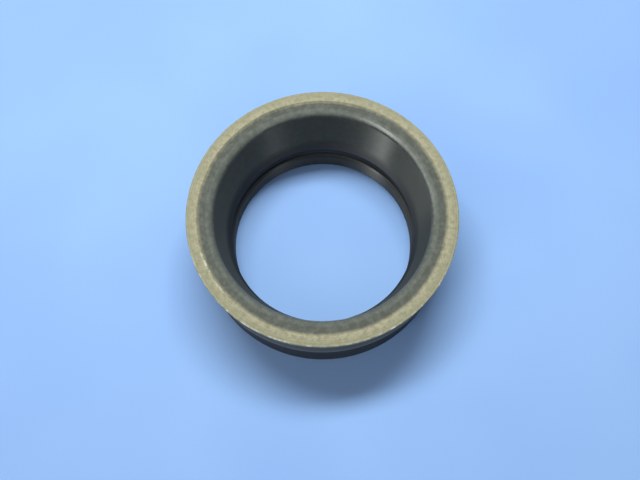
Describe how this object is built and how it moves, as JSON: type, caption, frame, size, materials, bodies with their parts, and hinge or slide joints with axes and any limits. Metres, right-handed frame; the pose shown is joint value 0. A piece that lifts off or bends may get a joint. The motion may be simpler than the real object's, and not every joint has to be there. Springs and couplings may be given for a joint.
{
  "type": "rubber sealing ring",
  "caption": "Moulded rubber sealing ring: flat rim face, flared conical mouth, grooved bore with a rounded lip and a stepped outer wall.",
  "frame": {"origin": "centre of the ring's base, on the surface that it stands on", "axes": "+Z along the ring's axis, from the base to the flared mouth; X and Y are free, because the ring is round"},
  "size_m": [0.03, 0.03, 0.011],
  "materials": {
    "rubber": "matt moulded black rubber, its ground rim face worn to a grainy khaki"
  },
  "bodies": {
    "root": {"sealing_ring": "rubber"}
  },
  "joints": []
}
